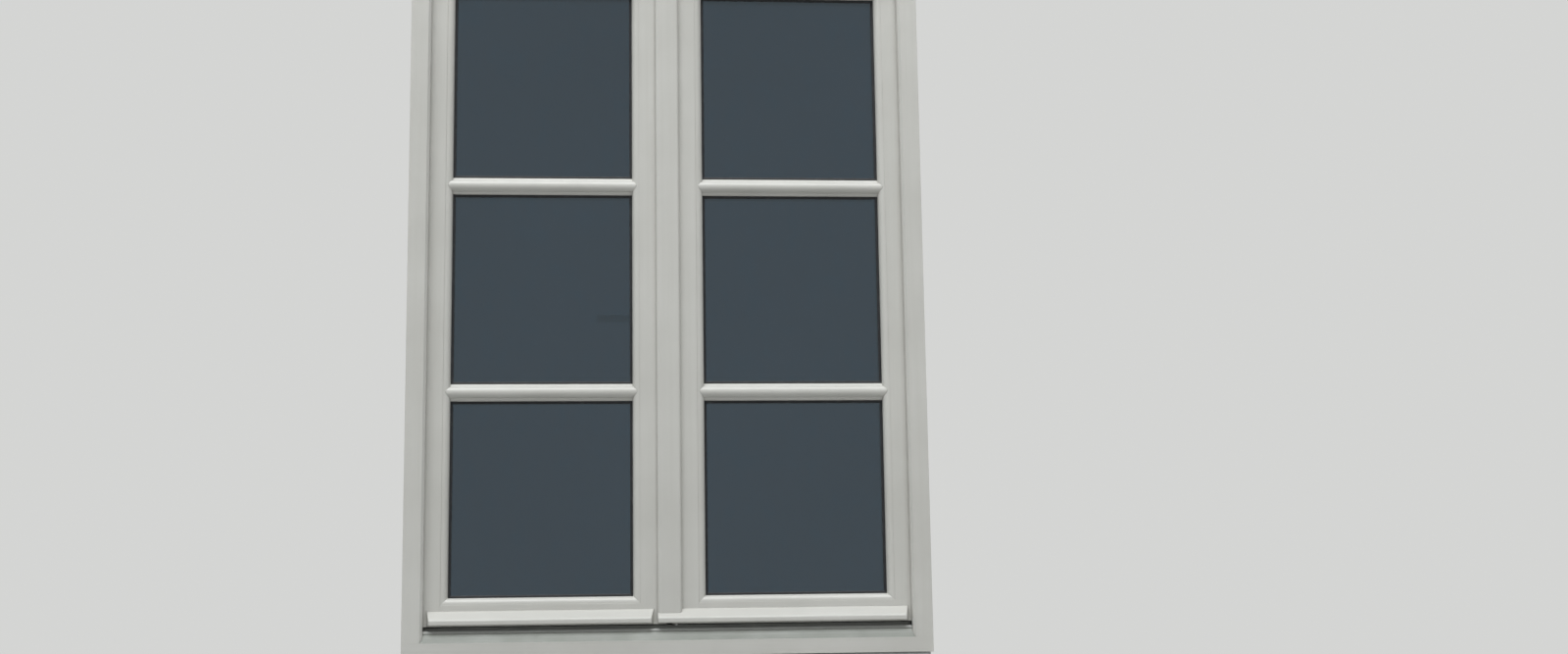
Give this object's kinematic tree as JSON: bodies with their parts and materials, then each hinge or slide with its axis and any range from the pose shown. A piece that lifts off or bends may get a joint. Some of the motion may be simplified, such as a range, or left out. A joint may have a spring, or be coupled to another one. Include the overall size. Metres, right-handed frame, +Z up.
{
  "type": "casement window",
  "caption": "Painted timber casement window: two leaves with glazing bars hung in a frame, cover strip at their meeting, weather bars and a lever handle with lock rods.",
  "frame": {"origin": "middle of the frame's bottom face, at half its depth and width", "axes": "+X to the right seen from outside, +Y into the room, +Z up"},
  "size_m": [1.05, 0.1463, 1.4535],
  "materials": {
    "painted_wood": "semi-gloss off-white paint",
    "glass": "clear float glass with a low-emissivity coating",
    "spacer_metal": "mill",
    "rail_aluminium": "natural anodised",
    "handle_metal": "satin anodised",
    "hinge_steel": "bright zinc plated",
    "lock_steel": "bright zinc plated",
    "seal_rubber": "matt black",
    "block_plastic": "matt"
  },
  "bodies": {
    "frame": {"left_jamb": "painted_wood", "right_jamb": "painted_wood", "frame_head": "painted_wood", "frame_bottom_rail": "painted_wood", "rain_rail": "rail_aluminium", "head_keep": "lock_steel", "bottom_keep": "lock_steel", "left_lower_hinge_frame_half": "hinge_steel", "left_upper_hinge_frame_half": "hinge_steel", "right_lower_hinge_frame_half": "hinge_steel", "right_upper_hinge_frame_half": "hinge_steel"},
    "left_leaf": {"left_hinge_stile": "painted_wood", "left_meeting_stile": "painted_wood", "left_top_rail": "painted_wood", "left_bottom_rail": "painted_wood", "left_outer_pane": "glass", "left_inner_pane": "glass", "left_spacer": "spacer_metal", "left_setting_blocks": "block_plastic", "left_beads": "painted_wood", "left_outer_bars": "painted_wood", "left_inner_bars": "painted_wood", "left_weather_bar": "painted_wood", "left_seal": "seal_rubber", "left_lower_hinge_leaf_half": "hinge_steel", "left_upper_hinge_leaf_half": "hinge_steel", "gear_case": "lock_steel", "faceplate": "lock_steel", "handle_rose": "handle_metal"},
    "right_leaf": {"right_hinge_stile": "painted_wood", "right_meeting_stile": "painted_wood", "right_top_rail": "painted_wood", "right_bottom_rail": "painted_wood", "right_outer_pane": "glass", "right_inner_pane": "glass", "right_spacer": "spacer_metal", "right_setting_blocks": "block_plastic", "right_beads": "painted_wood", "right_outer_bars": "painted_wood", "right_inner_bars": "painted_wood", "right_weather_bar": "painted_wood", "right_seal": "seal_rubber", "right_lower_hinge_leaf_half": "hinge_steel", "right_upper_hinge_leaf_half": "hinge_steel", "astragal": "painted_wood", "upper_bolt_plate": "lock_steel", "lower_bolt_plate": "lock_steel"},
    "handle": {"handle_lever": "handle_metal", "spindle": "lock_steel", "pinion": "lock_steel"},
    "upper_lock_rod": {"upper_rod": "lock_steel"},
    "lower_lock_rod": {"lower_rod": "lock_steel"},
    "upper_edge_bolt": {"upper_bolt": "lock_steel"},
    "lower_edge_bolt": {"lower_bolt": "lock_steel"}
  },
  "joints": [
    {"name": "left_leaf_swing", "type": "hinge", "parent": "frame", "child": "left_leaf", "pos_m": [-0.514, 0.0455, 0.212], "axis": [0, 0, 1], "range_deg": [0, 100]},
    {"name": "right_leaf_swing", "type": "hinge", "parent": "frame", "child": "right_leaf", "pos_m": [0.514, 0.0455, 0.212], "axis": [0, 0, 1], "range_deg": [-90, 0]},
    {"name": "handle_turn", "type": "hinge", "parent": "left_leaf", "child": "handle", "pos_m": [-0.028, 0.012, 0.7], "axis": [0, -1, 0], "range_deg": [0, 90]},
    {"name": "upper_rod_slide", "type": "slide", "parent": "left_leaf", "child": "upper_lock_rod", "axis": [0, 0, 1], "range_m": [0, 0.01886]},
    {"name": "lower_rod_slide", "type": "slide", "parent": "left_leaf", "child": "lower_lock_rod", "axis": [0, 0, -1], "range_m": [0, 0.01886]},
    {"name": "upper_bolt_slide", "type": "slide", "parent": "right_leaf", "child": "upper_edge_bolt", "axis": [0, 0, 1], "range_m": [0, 0.018]},
    {"name": "lower_bolt_slide", "type": "slide", "parent": "right_leaf", "child": "lower_edge_bolt", "axis": [0, 0, -1], "range_m": [0, 0.018]}
  ],
  "couplings": [
    {"joint": "right_leaf_swing", "follows": "left_leaf_swing", "ratio": -0.9},
    {"joint": "upper_rod_slide", "follows": "handle_turn", "m_per_rad": 0.012},
    {"joint": "lower_rod_slide", "follows": "handle_turn", "m_per_rad": 0.012}
  ]
}
